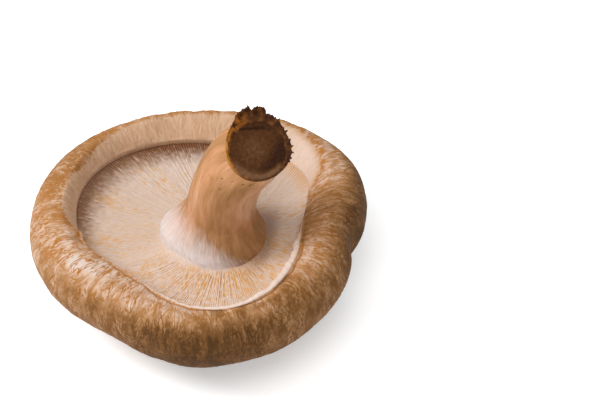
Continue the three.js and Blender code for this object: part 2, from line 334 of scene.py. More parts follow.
def cap_material(look):
    """Dried cap skin over pale flesh: a thin matte cuticle torn into fine radial scales.

    To the eye it is a dull, mottled tan to brown hide, darker below, with short streaks that run
    from the crown over the rim, rusty lines on the roll, and a smooth pale margin inside.
    """
    material, tree = new_material("Mushroom cap cuticle, dried")
    flow = add_node(tree, "ShaderNodeAttribute", attribute_name="flow", output="Vector")
    streak, crack, stain, flesh, lip, tone = (
        add_node(tree, "ShaderNodeAttribute", attribute_name=name, output="Fac")
        for name in ["streak", "crack", "stain", "flesh", "lip", "tone"])

    # Fine streaks about 0.4 mm wide, over blotches of 2 by 4 mm, fainter where the skin is pale.
    stretched = add_node(tree, "ShaderNodeVectorMath", {0: flow, 1: (1, 1, 0.32)}, operation="MULTIPLY")
    fine = add_node(tree, "ShaderNodeTexNoise", {"Vector": stretched, "Scale": 1.4, "Detail": 3.0,
                                                 "Roughness": 0.55})
    broad = add_node(tree, "ShaderNodeVectorMath", {0: flow, 1: (1, 1, 0.45)}, operation="MULTIPLY")
    blotch = add_node(tree, "ShaderNodeTexNoise", {"Vector": broad, "Scale": 0.5, "Detail": 3.0})
    weight = add_node(tree, "ShaderNodeMapRange", {"Value": tone, "From Min": 0.3, "From Max": 0.8,
                                                   "To Min": 1.1 * look.contrast, "To Max": look.contrast})
    grain = add_node(tree, "ShaderNodeTexNoise", {"Vector": flow, "Scale": 1.5, "Detail": 3.0,
                                                  "Roughness": 0.6})
    pale_part = add_node(tree, "ShaderNodeMapRange", {"Value": tone, "From Min": 0.3, "From Max": 0.6,
                                                      "To Min": 0.2, "To Max": 0.4})
    fine = add_node(tree, "ShaderNodeMix", {"Factor": pale_part, "A": grain, "B": fine})
    ground = add_node(tree, "ShaderNodeMath", {0: fine, 1: 0.5}, operation="SUBTRACT")
    ground = add_node(tree, "ShaderNodeMath", {0: ground, 1: weight, 2: tone}, operation="MULTIPLY_ADD")
    ground = add_node(tree, "ShaderNodeMath", {0: blotch, 1: 0.8, 2: ground}, operation="MULTIPLY_ADD")
    ground = add_node(tree, "ShaderNodeMath", {0: ground, 1: 0.4}, operation="SUBTRACT", use_clamp=True)
    skin = add_node(tree, "ShaderNodeValToRGB", {"Fac": ground}, stops=[
        (0.0, look.dark), (0.25, look.brown), (0.5, look.tan), (0.75, look.pale), (1.0, look.cream)])

    # Wavy ripples about 0.4 mm wide, 1 mm apart and 4 mm long, with finer ones between them.
    ridges = []
    for scale, width, length in [(0.62, 0.035, 0.22), (0.9, 0.04, 0.35)]:
        long = add_node(tree, "ShaderNodeVectorMath", {0: flow, 1: (1, 1, length)}, operation="MULTIPLY")
        ridge = add_node(tree, "ShaderNodeTexNoise", {"Vector": long, "Scale": scale, "Detail": 2.0,
                                                      "Roughness": 0.45})
        ridge = add_node(tree, "ShaderNodeMath", {0: ridge, 1: 0.5}, operation="SUBTRACT")
        ridge = add_node(tree, "ShaderNodeMath", {0: ridge}, operation="ABSOLUTE")
        ridges.append(add_node(tree, "ShaderNodeMapRange", {
            "Value": ridge, "From Min": width, "From Max": 0.1 * width}))
    ripple = add_node(tree, "ShaderNodeMath", {0: ridges[0], 1: ridges[1]}, operation="MAXIMUM")
    ripple = add_node(tree, "ShaderNodeMath", {0: ripple, 1: crack}, operation="MULTIPLY")
    stroke = add_node(tree, "ShaderNodeMath", {0: streak, 1: fine}, operation="ADD")
    stroke = add_node(tree, "ShaderNodeMapRange", {"Value": stroke, "From Min": 0.62, "From Max": 0.74,
                                                   "To Max": 0.38})
    marks = add_node(tree, "ShaderNodeMath", {0: ripple, 1: stroke}, operation="MAXIMUM")
    marks = add_node(tree, "ShaderNodeMath", {0: marks, 1: stain}, operation="MAXIMUM")
    hue = add_node(tree, "ShaderNodeMapRange", {"Value": tone, "From Min": 0.25, "From Max": 0.6})
    ink = add_node(tree, "ShaderNodeMix", {"Factor": hue, "A": look.umber, "B": look.rust},
                   data_type="RGBA")
    rusty = add_node(tree, "ShaderNodeMix", {"Factor": marks, "A": skin, "B": ink}, data_type="RGBA")

    # The margin is ribbed every half millimetre.
    ribs = add_node(tree, "ShaderNodeVectorMath", {0: flow, 1: (1, 1, 0.1)}, operation="MULTIPLY")
    ribs = add_node(tree, "ShaderNodeTexNoise", {"Vector": ribs, "Scale": 2.8, "Detail": 2.0})
    ribs = add_node(tree, "ShaderNodeMath", {0: blotch, 1: 0.6, 2: ribs}, operation="MULTIPLY_ADD")
    margin = add_node(tree, "ShaderNodeValToRGB", {"Fac": ribs}, stops=[
        (0.6, look.margin_dark), (0.92, look.margin)])

    # The cuticle ends in an uneven, frayed line.
    fray = add_node(tree, "ShaderNodeMath", {0: fine, 1: 4.0, 2: -2.0}, operation="MULTIPLY_ADD")
    edge = add_node(tree, "ShaderNodeMath", {0: flesh, 1: fray}, operation="ADD")
    edge = add_node(tree, "ShaderNodeMapRange", {"Value": edge, "From Min": -0.4, "From Max": 0.4})
    colour = add_node(tree, "ShaderNodeMix", {"Factor": edge, "A": rusty, "B": margin},
                      data_type="RGBA")
    colour = add_node(tree, "ShaderNodeMix", {"Factor": lip, "A": colour, "B": look.lip},
                      data_type="RGBA")

    bump_height = add_node(tree, "ShaderNodeMath", {0: fine, 1: marks}, operation="SUBTRACT")
    bump = add_node(tree, "ShaderNodeBump", {"Height": bump_height, "Strength": 0.35,
                                             "Distance": 0.25 * MM})
    surface = add_node(tree, "ShaderNodeBsdfPrincipled", {
        "Base Color": colour, "Roughness": 0.75, "IOR": 1.4, "Specular IOR Level": 0.25,
        "Subsurface Weight": 0.08, "Subsurface Scale": 1.0 * MM, "Normal": bump})
    add_surface(tree, surface)
    return material


def add_surface(tree, surface):
    """Send a shader to the material's output."""
    output = tree.nodes.new("ShaderNodeOutputMaterial")
    tree.links.new(surface, output.inputs["Surface"])


def gill_material(look):
    """Fresh gills: thin, soft, matte plates, cream with a pink cast, rusty where they bruised.

    Light gets a little way into them, so the gaps between them glow tan instead of going black.
    """
    material, tree = new_material("Mushroom gills, soft and matte")
    flow = add_node(tree, "ShaderNodeAttribute", attribute_name="flow", output="Vector")
    gap, shadow, bruise, bright = (
        add_node(tree, "ShaderNodeAttribute", attribute_name=name, output="Fac")
        for name in ["gap", "shadow", "bruise", "bright"])

    spots = add_node(tree, "ShaderNodeTexNoise", {"Vector": flow, "Scale": 1.9, "Detail": 3.0,
                                                  "Roughness": 0.6})
    spots = add_node(tree, "ShaderNodeMath", {0: spots, 1: bruise}, operation="ADD")
    spots = add_node(tree, "ShaderNodeMapRange", {"Value": spots, "From Min": 0.54, "From Max": 0.72,
                                                  "To Max": 0.9})
    soft = add_node(tree, "ShaderNodeTexNoise", {"Vector": flow, "Scale": 2.6, "Detail": 1.0})
    soft = add_node(tree, "ShaderNodeMapRange", {"Value": soft, "From Min": 0.38, "From Max": 0.68})
    colour = look.edge
    # Layers in turn: soft plates, painted light with white flecks, rusty flecks, gaps, and painted shade with
    # some brown.
    for part, tint in [(soft, look.plate), (bright, look.bright), (spots, look.bruise),
                       (gap, look.gap), (shadow, look.brown_and_painted_shade)]:
        colour = add_node(tree, "ShaderNodeMix", {"Factor": part, "A": colour, "B": tint},
                          data_type="RGBA")
    surface = add_node(tree, "ShaderNodeBsdfPrincipled", {
        "Base Color": colour, "Roughness": 0.85, "IOR": 1.38, "Specular IOR Level": 0.25,
        "Subsurface Weight": 0.2, "Subsurface Scale": 0.8 * MM, "Subsurface Radius": (1, 0.7, 0.5)})
    add_surface(tree, surface)
    return material


def stem_material(look):
    """Stem: tough lengthwise fibres, peach to tan, with white cottony down on the foot."""
    material, tree = new_material("Mushroom stem, fibrous")
    flow = add_node(tree, "ShaderNodeAttribute", attribute_name="flow", output="Vector")
    down, end, pit, painted_light_and_shade = (
        add_node(tree, "ShaderNodeAttribute", attribute_name=name, output="Fac")
        for name in ["down", "end", "pit", "painted_light_and_shade"])

    # Fibres about 0.3 mm wide and 2 mm long, in bands 1.5 mm wide, which run the way of the stem.
    stretched = add_node(tree, "ShaderNodeVectorMath", {0: flow, 1: (1, 1, 0.12)}, operation="MULTIPLY")
    fibre = add_node(tree, "ShaderNodeTexNoise", {"Vector": stretched, "Scale": 3.6, "Detail": 3.0,
                                                  "Roughness": 0.6})
    broad = add_node(tree, "ShaderNodeVectorMath", {0: flow, 1: (1, 1, 0.25)}, operation="MULTIPLY")
    blotch = add_node(tree, "ShaderNodeTexNoise", {"Vector": broad, "Scale": 0.5, "Detail": 3.0})
    mixed = add_node(tree, "ShaderNodeMath", {0: fibre, 1: 0.25, 2: blotch}, operation="MULTIPLY_ADD")
    # Painted light and shade shift the fibres paler or darker round the stem.
    mixed = add_node(tree, "ShaderNodeMath", {0: painted_light_and_shade, 1: 0.4, 2: mixed}, operation="MULTIPLY_ADD")
    mixed = add_node(tree, "ShaderNodeMapRange", {"Value": mixed, "From Min": 0.28, "From Max": 1.1})
    skin = add_node(tree, "ShaderNodeValToRGB", {"Fac": mixed}, stops=[
        (0.0, look.shade), (0.4, look.tan), (0.7, look.peach), (1.0, look.pale)])
    specks = add_node(tree, "ShaderNodeTexNoise", {"Vector": broad, "Scale": 1.6, "Detail": 2.0})
    specks = add_node(tree, "ShaderNodeMapRange", {"Value": specks, "From Min": 0.58, "From Max": 0.72,
                                                   "To Max": 0.5})
    fluffy = add_node(tree, "ShaderNodeMath", {0: fibre, 1: 0.8, 2: -0.5}, operation="MULTIPLY_ADD")
    fluffy = add_node(tree, "ShaderNodeMath", {0: fluffy, 1: down}, operation="ADD", use_clamp=True)
    colour = skin
    for part, tint in [(specks, look.end), (fluffy, look.down), (end, look.end), (pit, look.pit)]:
        colour = add_node(tree, "ShaderNodeMix", {"Factor": part, "A": colour, "B": tint},
                          data_type="RGBA")
    bump = add_node(tree, "ShaderNodeBump", {"Height": fibre, "Strength": 0.2, "Distance": 0.2 * MM})
    surface = add_node(tree, "ShaderNodeBsdfPrincipled", {
        "Base Color": colour, "Roughness": 0.8, "IOR": 1.4, "Specular IOR Level": 0.3,
        "Subsurface Weight": 0.1, "Subsurface Scale": 1.0 * MM, "Normal": bump})
    add_surface(tree, surface)
    return material


def cut_material(look):
    """Dried cut end: the flesh has oxidised to a dark, dull, corky brown with faint rings."""
    material, tree = new_material("Mushroom flesh, cut and dried")
    flow = add_node(tree, "ShaderNodeAttribute", attribute_name="flow", output="Vector")
    rust = add_node(tree, "ShaderNodeAttribute", attribute_name="rust", output="Fac")
    pale = add_node(tree, "ShaderNodeAttribute", attribute_name="pale", output="Fac")
    grain = add_node(tree, "ShaderNodeTexNoise", {"Vector": flow, "Scale": 1.3, "Detail": 4.0,
                                                  "Roughness": 0.65})
    tone = add_node(tree, "ShaderNodeMath", {0: grain, 1: 0.8, 2: -0.4}, operation="MULTIPLY_ADD")
    tone = add_node(tree, "ShaderNodeMath", {0: tone, 1: pale}, operation="ADD")
    flesh = add_node(tree, "ShaderNodeValToRGB", {"Fac": tone}, stops=[
        (0.0, look.dark), (0.45, look.brown), (0.95, look.light)])
    skin = add_node(tree, "ShaderNodeValToRGB", {"Fac": rust}, stops=[(0.5, look.rust), (1, look.skin)])
    part = add_node(tree, "ShaderNodeMath", {0: rust, 1: 2.2}, operation="MULTIPLY", use_clamp=True)
    colour = add_node(tree, "ShaderNodeMix", {"Factor": part, "A": flesh, "B": skin}, data_type="RGBA")
    bump = add_node(tree, "ShaderNodeBump", {"Height": grain, "Strength": 0.6, "Distance": 0.3 * MM})
    surface = add_node(tree, "ShaderNodeBsdfPrincipled", {
        "Base Color": colour, "Roughness": 0.85, "IOR": 1.4, "Specular IOR Level": 0.15,
        "Normal": bump})
    add_surface(tree, surface)
    return material


def floor_material(look):
    """White sweep of matte paper, which takes a soft shadow."""
    material, tree = new_material("Matte white paper sweep")
    paper = add_node(tree, "ShaderNodeBsdfDiffuse", {"Color": look.paper})
    seen = add_node(tree, "ShaderNodeLightPath", output="Is Camera Ray")
    glow = add_node(tree, "ShaderNodeMath", {0: seen, 1: look.paper_glow}, operation="MULTIPLY")
    white = add_node(tree, "ShaderNodeEmission", {"Color": (1, 1, 1, 1), "Strength": glow})
    add_surface(tree, add_node(tree, "ShaderNodeAddShader", {0: paper, 1: white}))
    return material


# ---------------------------------------------------------------- settings

def colour_setting(name, description, hex_colour):
    """A colour setting."""
    return FloatVectorProperty(name=name, description=description, subtype="COLOR", size=4,
                               default=linear(hex_colour))


class CapSettings(bpy.types.PropertyGroup):
    columns: IntProperty(name="Columns", description="Points round the cap", default=640, min=72)
    lumps: FloatProperty(name="Lumps", description="Height of the cap's broad unevenness, mm", default=0.3)
    scales: FloatProperty(name="Scales", description="Height of the radial scales, mm", default=0.09)
    cracks: FloatProperty(name="Cracks", description="Depth of the rusty lines, mm", default=0.12)
    streaks: FloatProperty(name="Streaks", description="Strength of the darker strokes", default=0.3)
    contrast: FloatProperty(name="Contrast", description="Contrast of the finest streaks", default=0.7)
    dark: colour_setting("Dark", "Darkest skin", "#523515")
    brown: colour_setting("Brown", "Streaks", "#7c532b")
    tan: colour_setting("Tan", "Most of the skin", "#a67b53")
    pale: colour_setting("Pale", "Skin between the streaks", "#c6a891")
    cream: colour_setting("Cream", "Palest patches", "#cab8ad")
    umber: colour_setting("Umber", "Strokes on dark skin", "#543513")
    rust: colour_setting("Rust", "Rusty lines", "#a36a2e")
    margin: colour_setting("Margin", "Flesh inside the rim", "#c5a285")
    margin_dark: colour_setting("Margin ribs", "Between the margin's ribs", "#b48d6c")
    lip: colour_setting("Lip", "Edge over the gills", "#d9c5b8")


class GillSettings(bpy.types.PropertyGroup):
    full: IntProperty(name="Full gills", description="Gills that reach the stem", default=150, min=20)
    depth: FloatProperty(name="Depth", description="Visible depth of the gaps at the rim, mm",
                         default=0.25)
    edge: colour_setting("Edge", "Gill edges", "#c1aca0")
    plate: colour_setting("Plate", "Gill sides", "#bba48f")
    # Painted light on the front and right gills, and real white flecks at the back.
    bright: colour_setting("Bright", "Whiter edges at the front", "#cab7ac")
    gap: colour_setting("Gap", "Between the gills", "#bd8845")
    # Painted shade with some real brown, under the back of the rim and beside the stem.
    brown_and_painted_shade: colour_setting("Deep", "Between the gills under the rim", "#694124")
    bruise: colour_setting("Bruise", "Rusty flecks", "#c5924d")


class StemSettings(bpy.types.PropertyGroup):
    columns: IntProperty(name="Columns", description="Points round the stem", default=360, min=72)
    fibres: FloatProperty(name="Fibres", description="Height of the fibres, mm", default=0.02)
    shade: colour_setting("Shade", "Darkest fibres", "#845e39")
    tan: colour_setting("Tan", "Most fibres", "#ab7b50")
    peach: colour_setting("Peach", "Lighter fibres", "#c28d66")
    pale: colour_setting("Pale", "Palest fibres", "#cfa584")
    down: colour_setting("Down", "Cottony foot", "#d7cecd")
    end: colour_setting("End", "Edge at the cut", "#a5702f")
    pit: colour_setting("Pits", "Small pits", "#4a2c16")


class CutSettings(bpy.types.PropertyGroup):
    dark: colour_setting("Dark", "Darkest flesh", "#2c1509")
    brown: colour_setting("Brown", "Most of the cut", "#4b2c14")
    light: colour_setting("Light", "Palest flesh", "#694a32")
    rust: colour_setting("Rust", "Torn skin's edge", "#a5611f")
    skin: colour_setting("Skin", "Torn skin that kept its colour", "#c09468")


class StageSettings(bpy.types.PropertyGroup):
    view_height: FloatProperty(name="View height", description="Camera above the floor plane",
                               subtype="ANGLE", default=math.radians(45))
    view_distance: FloatProperty(name="Distance", description="Camera to its aim", unit="LENGTH",
                                 default=0.362)
    aim: FloatVectorProperty(name="Aim", description="Point at the middle of the view", unit="LENGTH",
                             size=3, default=(0.0228, 0, 0.0252))
    lens: FloatProperty(name="Lens", description="Focal length, mm", default=100)
    key_power: FloatProperty(name="Key", description="Power of the key light, W", default=2.0)
    key_size: FloatProperty(name="Key size", description="Width of the key light", unit="LENGTH",
                            default=0.25)
    key_side: FloatProperty(name="Key side", description="Direction of the key light, from the right",
                            subtype="ANGLE", default=math.radians(180))
    key_height: FloatProperty(name="Key height", description="Height of the key light as an angle",
                              subtype="ANGLE", default=math.radians(42))
    top_power: FloatProperty(name="Top", description="Power of the overhead light, W", default=1.7)
    top_size: FloatProperty(name="Top size", description="Width of the overhead light", unit="LENGTH",
                            default=0.4)
    sky: FloatProperty(name="Sky", description="Strength of the even light", default=0.4)
    paper: colour_setting("Paper", "Floor", "#eeeeee")
    paper_glow: FloatProperty(name="Paper glow", description="White added to the floor as it is seen",
                              default=0.4)


# ---------------------------------------------------------------- cap

def reach_at(azimuth):
    """The cap's widest radius, with the step where the right-hand lobe ends."""
    offset = (np.degrees(azimuth) - LEDGE_AZIMUTH + 180) % 360 - 180
    return around(REACH, azimuth) - LEDGE_DEPTH * bell(offset, 0, LEDGE_SPREAD)


def cap_profile(azimuth):
    """Radius and height of the cap's rows, from the crown round the rim to under the gills.

    Also gives each row's place on the slope (-1 belly, 0 crest, 1 crease) and round the lip.
    """
    a = azimuth[None, :]
    reach = reach_at(a)
    crest, crest_z = around(CREST_RADIUS, a), around(CREST_HEIGHT, a)
    curl = bell(np.degrees(a), CURL_AZIMUTH, CURL_SPREAD)
    crease = around(LIP_RADIUS, a) - 0.5 * curl
    crease_z = around(LIP_HEIGHT, a) + 0.7 * curl
    frill = 0.3 * noise(polar(6, a, 0), 37) + 0.25 * noise(polar(20, a, 0), 38)
    half_lip = around(LIP_WIDTH, a) / 2 * (0.95 + frill)
    flat = 0 * a
    stretches = []

    def add(radius, height, slope=-1.0, lip=0.0):
        radius, height = np.broadcast_arrays(radius + flat, height + flat)
        stretches.append((radius, height, slope + 0 * radius, lip + 0 * radius))

    share = np.linspace(0.25, 1, 4, endpoint=False)[:, None]
    add(REST_RADIUS * share, 0)
    turn = np.radians(np.linspace(-90, 0, 56, endpoint=False))[:, None]
    dome = REST_RADIUS + (reach - REST_RADIUS) * np.cos(turn) ** DOME_FULLNESS
    add(dome, BELLY_HEIGHT * (1 + np.sin(turn)))
    turn = np.radians(np.linspace(0, 90, 40, endpoint=False))[:, None]
    add(crest + (reach - crest) * np.cos(turn), BELLY_HEIGHT + (crest_z - BELLY_HEIGHT) * np.sin(turn),
        slope=np.degrees(turn) / 90 - 1)
    share = np.linspace(0, 1, 24, endpoint=False)[:, None]
    add(crest + (crease - crest) * share, crest_z + (crease_z - crest_z) * share**1.6, slope=share)
    share = np.linspace(0, 1, 12)[:, None]
    turn = np.pi - np.radians(210) * share
    ribbon = smooth_step(2 * half_lip, 0.3, 0.6)
    edge = 0.1 * np.sin(0.7 * np.pi * share)
    inwards = edge + (half_lip * (1 + np.cos(turn)) - edge) * ribbon
    down = 1.1 * share**1.5
    add(crease - inwards, crease_z - down + (0.65 * half_lip * np.sin(turn) + down * 0.3) * ribbon,
        slope=1.0, lip=np.clip(5 * share, 0, 1))
    under = crease + LIP_OVERHANG
    add(np.linspace(0.3, 1, 3)[:, None] * (under - crease + 2 * half_lip) + crease - 2 * half_lip,
        crease_z - 1.5 - np.linspace(0, 1, 3)[:, None], slope=1.0)
    add(under * np.linspace(1, 0.25, 4)[:, None], np.linspace(16.6, 15.5, 4)[:, None], slope=1.0)
    return [np.concatenate(rows) for rows in zip(*stretches)]


# Every 30 degrees from azimuth 0: how pale the skin is on top of the rim and lower on its outside,
# how rusty its ripples are, how strongly the lip shows its own pale colour, and how rusty it is beside it.
TOP_TONE = [0.4, 0.74, 0.62, 0.58, 0.61, 0.51, 0.58, 0.7, 0.67, 0.49, 0.34, 0.5]
LOW_TONE = [0.1, 0.22, 0.32, 0.32, 0.36, 0.44, 0.64, 0.50, 0.37, 0.08, 0.31, 0.34]
RIPPLES = [1.1, 1.2, 1.2, 1.0, 1.2, 1.4, 1.4, 1.2, 1.1, 1.0, 1.0, 1.1]
LIP_TONE = [0.2, 0, 0, 0, 0, 0.1, 0.25, 0.15, 0.45, 0.95, 1, 0.7]
RIM_RUST = [0.3, 0, 0, 0, 0, 0.2, 0.5, 0.6, 1.3, 1.6, 1.6, 1.4]


# Pale and rusty patches on the roll: azimuth in degrees, slope, their spreads, paler by, rustier by.
MARKS = [
    (212, -0.15, 4.5, 0.13, 0.5, -0.2),
    (221, -0.05, 5, 0.08, 0.25, 0),
    (176, 0.25, 6, 0.2, -0.1, 0.5),
    (213, 0.54, 1.6, 0.1, 0, 0.9),
    (252, 0.2, 5, 0.15, -0.15, 0.3),
    (296, -0.2, 5, 0.15, 0.2, 0),
    (348, 0.15, 8, 0.2, 0.14, -0.2),
    (12, -0.1, 7, 0.2, 0.04, 0),
    (325, -0.2, 7, 0.2, 0.12, 0),
]


def cap_body(look):
    """The cap with its relief: lumps, radial scales, rusty lines and a ribbed margin."""
    azimuth = columns(look.columns)
    radius, height, slope, lip = cap_profile(azimuth)
    points = polar(radius, azimuth, height)
    steps = np.linalg.norm(np.diff(points, axis=0), axis=-1)
    run = np.concatenate([np.zeros((1, look.columns)), np.cumsum(steps, axis=0)])
    flow = polar(35 * (0.45 + 0.55 * smooth_step(radius, 5, 25)), azimuth, run)

    ease = smooth_step(height, 0.2, 4) * (1 - smooth_step(slope, 0.97, 1.0))
    bend = flow + 0.9 * wobble(flow / 5, 3)
    scale_field = layered_noise(bend / [1.0, 1.0, 2.4], 11)
    line_field = 1 - np.abs(noise(bend / [2.4, 2.4, 11.0], 21)) / 0.12
    line_parts = smooth_step(noise(flow / [3, 3, 3], 23), -0.1, 0.35)
    roll = smooth_step(slope, -0.7, -0.3) * (1 - smooth_step(slope, 0.9, 1.0))
    skin_end = around(SKIN_REACH, azimuth)[None, :]
    inner_length = np.hypot(around(CREST_RADIUS, azimuth) - around(LIP_RADIUS, azimuth), 3.0)[None, :]
    flesh = (slope - skin_end) * inner_length
    skin_part = 1 - smooth_step(flesh, -0.6, 0.6)
    top, low = around(TOP_TONE, azimuth)[None, :], around(LOW_TONE, azimuth)[None, :]
    line = np.clip(line_field, 0, 1) * line_parts * roll * skin_part * smooth_step(top, 0.3, 0.55)
    broken = noise(flow / [1.8, 1.8, 1e9], 33)[:1]
    rim_line = np.exp(-(((1 - slope) * inner_length - 0.6 - 0.4 * broken) / 0.4) ** 2) * (1 - lip) * skin_part
    line = np.maximum(line, (0.8 + 1.2 * broken) * rim_line * around(RIM_RUST, azimuth)[None, :])
    rib_field = noise(flow / [0.9, 0.9, 12.0], 31)

    relief = look.lumps * layered_noise(flow / [9, 9, 8], 7, layers=2)
    relief += look.scales * scale_field * skin_part
    relief += 0.3 * noise(flow / [3.5, 3.5, 6], 35) * smooth_step(slope, -0.6, -0.1) * skin_part
    relief -= look.cracks * line
    relief += 0.05 * rib_field * (1 - skin_part)
    points = points + grid_normals(points) * (relief * ease)[..., None]
    points[..., 2] = np.maximum(points[..., 2], 0)

    streak = look.streaks * scale_field
    tone = top + (low - top) * (1 - smooth_step(slope, -0.75, -0.1)) + 0 * radius
    by_lip = smooth_step(slope, -0.1, 0.6) * around(LIP_TONE, azimuth)[None, :]
    tone = tone + (0.2 + 0.3 * broken) * by_lip - 0.15 * rim_line * around(RIM_RUST, azimuth)[None, :]
    rustier = 0 * tone
    for at, place, spread, depth, paler, rusting in MARKS:
        spot = np.exp(-((np.degrees(azimuth)[None, :] - at) / spread) ** 2 - ((slope - place) / depth) ** 2)
        tone = tone + paler * spot
        rustier = rustier + rusting * spot
    edge_parts = (smooth_step(np.cos(azimuth - 2.7), -0.2, 0.3)
                  + 1.5 * smooth_step(facing(azimuth, 42), 0.85, 0.97))
    edge_blotch = bell(flesh, -0.8, 1.1) * edge_parts
    stain = 0.7 * line + (0.8 * edge_blotch + rustier) * smooth_step(scale_field, -0.5, 0.3)
    stain = np.clip(stain, 0, 1)
    patchy = 0.7 + 0.5 * smooth_step(noise(flow / 5, 25), -0.4, 0.3)
    crack = around(RIPPLES, azimuth)[None, :] * (0.75 + 0.25 * smooth_step(slope, -1.0, -0.4)) * patchy
    degrees = np.degrees(azimuth)
    pale_patch = 0.65 * bell(degrees, 40, 18) * smooth_step(flesh, 0, 2)
    lip_colour = np.maximum(lip * (slope >= 1) * around(LIP_TONE, azimuth)[None, :], pale_patch)
    waves = 0.3 + 0.25 * facing(azimuth, 170)[None, :, None]
    wavy = flow + waves * wobble(flow / 2.4, 27)
    return Body(points, (0, 0, 0), (0, 0, 15.4), flow=wavy, streak=streak, crack=crack, stain=stain,
                flesh=np.where(slope > -1, flesh, -6), lip=lip_colour, tone=tone)


# ---------------------------------------------------------------- gills

# Heights across one gill's pitch, from gap to edge to gap, and where they lie in the pitch.
BLADE_PLACES = np.array([-0.5, -0.33, -0.13, 0.13, 0.33])
BLADE_HEIGHTS = np.array([0.0, 0.45, 1.0, 1.0, 0.45])


# How deep the gaps between the gills show, every 30 degrees from azimuth 0.
GAP_RELIEF = [0.2, 0.1, 0.05, 0.05, 0.08, 0.08, 0.06, 0.15, 0.6, 0.9, 0.9, 0.6]


def gill_body(look):
    """The gill field: long gills with a short one between each pair, 0.5 mm apart at the rim."""
    count = 2 * look.full
    rng = np.random.default_rng(41)
    per = len(BLADE_PLACES)
    number = np.repeat(np.arange(count), per)
    place = np.tile(BLADE_PLACES, count)
    blade = np.tile(BLADE_HEIGHTS, count)
    start = np.where(number % 2, rng.uniform(0.4, 0.75, count)[number], 2.0)
    lift = rng.normal(0, 0.05, count)[number]

    share = (np.linspace(0, 1, 58) ** 1.4)[:, None]
    sway = noise(np.stack(np.broadcast_arrays(share * 5, number * 0.37 + 0 * share, 0 * share), -1), 43)
    azimuth = (number + 0.5 + place + 0.22 * sway) / count * TURN
    base = (number + 0.5 + place) / count * TURN + 0 * share

    foot_x, foot_y, _, foot_radius = STEM[1]
    outer = around(LIP_RADIUS, base) - around(LIP_WIDTH, base) + LIP_OVERHANG * (1 - share) ** 3
    inner = polar(foot_radius - 0.9, azimuth, 0) + [foot_x, foot_y, 0]
    points = polar(outer, azimuth, 0) * (1 - share)[..., None] + inner * share[..., None]

    rise = np.maximum(around(LIP_HEIGHT, base) - 1.1 - GILL_HEIGHT, 0) * (1 - share) ** GILL_RISE
    rise = rise + 0.9 * smooth_step(facing(base, 35), 0.75, 0.95) * (1 - share) ** 6
    climb = 0.6 * smooth_step(share, 0.86, 1.0) ** 2
    level = GILL_HEIGHT - GILL_DIP * np.sin(np.pi * share) + rise + climb
    grown = 1 - smooth_step(share, start - 0.1, start + 0.05)
    along_gill = np.stack(np.broadcast_arrays(share * 26, number * 1.7 + 0 * share, 0 * share), -1)
    serrated = noise(along_gill, 47)
    clumps = noise(points / 2.6, 49)
    front = smooth_step(-np.sin(base), -0.2, 0.8)
    dashes = noise(np.stack(np.broadcast_arrays(share * 15, number * 0.9 + 0 * share, 0 * share), -1), 50)
    relief = around(GAP_RELIEF, base) * smooth_step(dashes, -0.5, 0.3)
    near_rim = 1 - smooth_step(share + 0.06 * dashes, 0.04, 0.2)
    near_rim = near_rim * np.clip(1.2 - smooth_step(facing(base, 20), 0.4, 0.9), 0, 1)
    relief = relief + np.maximum(0.7 - relief, 0) * near_rim
    at_foot = 1 - smooth_step(share, 0.8, 0.95)
    depth = look.depth * (1 - 0.5 * share) * (1 - 0.4 * front) * relief * at_foot
    sunk = 1 - blade * grown
    points[..., 2] = (level + (lift + 0.08 * serrated) * blade * at_foot
                      + 0.12 * clumps - depth * sunk)
    # Painted shade under the back of the rim, over the gills' own brown there: a dark band that fades inwards
    # and is weaker towards the left.
    width = 0.55 + 0.45 * smooth_step(facing(base, 105), -0.1, 0.7)
    rim_band = 1 - smooth_step((share + 0.07 * dashes + 0.04 * serrated) / width, 0.04, 0.36)
    gap = smooth_step(sunk, 0.05, 0.9) * (0.03 + 0.07 * front + 0.9 * relief)
    gap = gap * (1 - smooth_step(share, 0.85, 1.0))
    back = smooth_step(facing(base, 125), 0.2, 0.65)
    back = back * (1 - 0.15 * smooth_step(-np.cos(base), 0.3, 0.9))
    shadow = rim_band * back * (0.95 + 0.1 * smooth_step(sunk, 0.0, 0.6) - 0.15 * np.maximum(serrated, 0))

    # Painted shadow: the stem's cast shadow on the gills to its right, darkened in the colour.
    stem_shadow = smooth_step(facing(base, 350), 0.6, 1.0) * smooth_step(share, 0.45, 0.85)
    teeth = smooth_step(facing(base, 45), 0.9, 0.97) * (1 - smooth_step(share, 0.03, 0.28))
    shadow = np.maximum(shadow, 0.6 * stem_shadow)
    gap = np.maximum(gap, teeth * smooth_step(sunk, 0.0, 0.6))

    outside = points[:1].copy()
    outside[..., 2] = GILL_BOTTOM
    inside = points[-1:].copy()
    inside[..., 2] = GILL_BOTTOM
    points = np.concatenate([outside, points, inside])[::-1]
    gap, shadow = (np.concatenate([v[:1], v, v[-1:]])[::-1] for v in (gap, shadow))
    turned = np.arctan2(points[..., 1], points[..., 0])
    # Painted light: whiter gills at the front, where light falls on them, and at the right, to lighten the
    # stem's shadow; at the back, real white flecks.
    lit = smooth_step(facing(turned, 258), 0.45, 0.95)
    right = smooth_step(facing(turned, 340), 0.5, 0.95)
    back = smooth_step(np.sin(turned), 0.4, 0.95)
    reach = np.hypot(points[..., 0], points[..., 1])
    flow = polar(28.0, turned, 0.33 * reach)
    flecks = smooth_step(noise(flow / [0.9, 0.9, 0.5], 54), -0.2, 0.3)
    lit = np.maximum(lit, np.maximum(0.65 * right, back * (0.25 + 0.55 * flecks))) * (1 - gap)
    front = smooth_step(-np.sin(turned), -0.6, 0.8)
    bruise = 0.1 * noise(flow / 6, 53) + 0.03 * front + 0.06 * right - 0.01
    return Body(points, (foot_x, foot_y, GILL_BOTTOM), (0, 0, GILL_BOTTOM), flow=flow, gap=gap, shadow=shadow,
                bruise=bruise, bright=lit)


# ---------------------------------------------------------------- stem and cut

